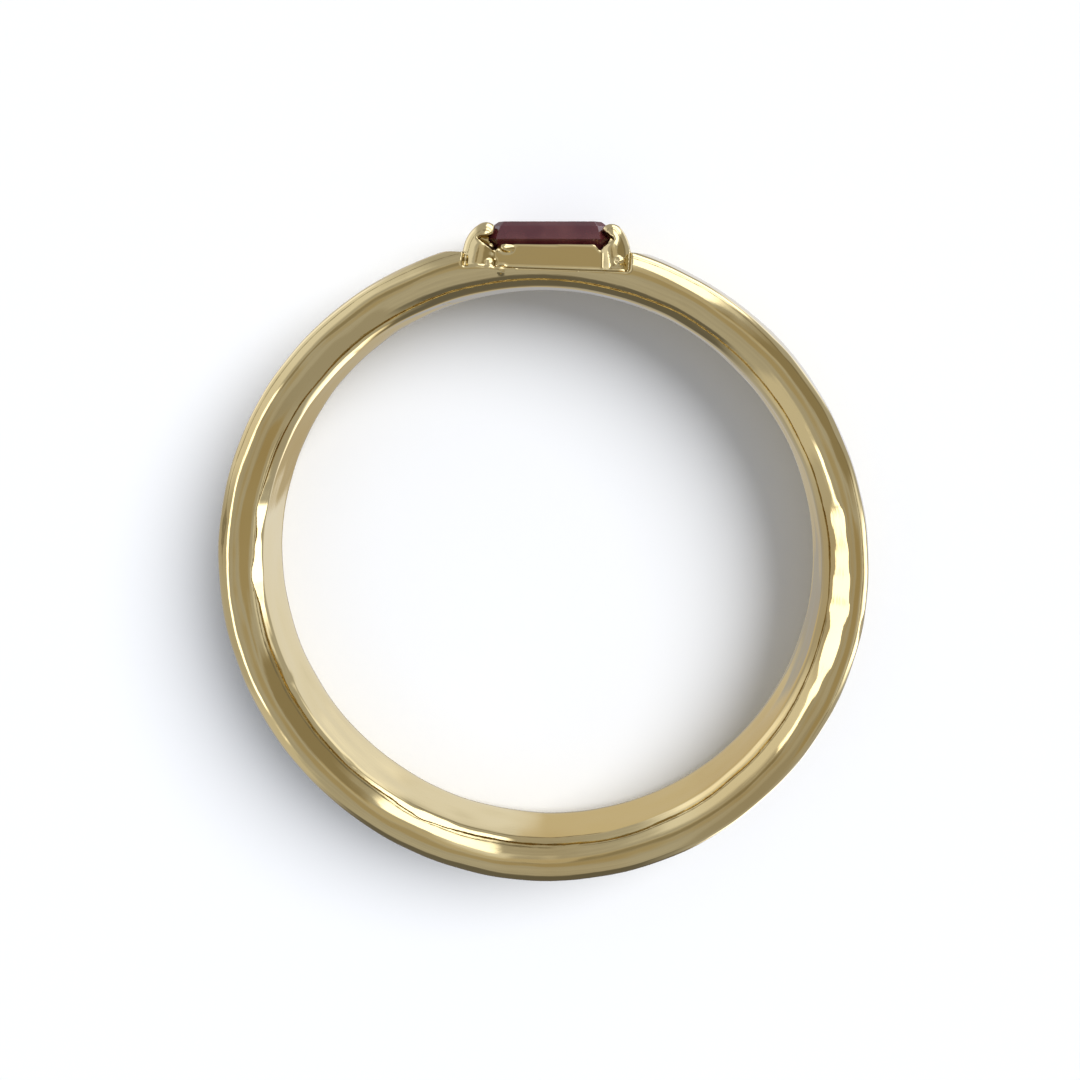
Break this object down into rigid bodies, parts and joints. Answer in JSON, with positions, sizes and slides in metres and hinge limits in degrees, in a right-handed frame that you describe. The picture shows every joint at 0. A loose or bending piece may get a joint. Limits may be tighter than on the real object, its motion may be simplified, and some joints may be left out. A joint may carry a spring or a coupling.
{
  "type": "stacking ring",
  "caption": "Domed yellow gold finger ring with a low claw head across a notch, holding a step-cut dark red stone lengthwise along the band.",
  "frame": {"origin": "centre of the finger hole, on its axis at the middle of the band's width", "axes": "+Z along the finger hole, upwards as the ring lies on its side; +Y from the axis towards the head; +X across, along the stone's length"},
  "size_m": [0.0204, 0.0208, 0.0036],
  "materials": {
    "gold": "hand-polished yellow gold with fine wear marks",
    "dark_red_stone": "polished step-cut stone, deep purple red"
  },
  "bodies": {
    "root": {"band_and_setting": "gold", "stone": "dark_red_stone"}
  },
  "joints": []
}
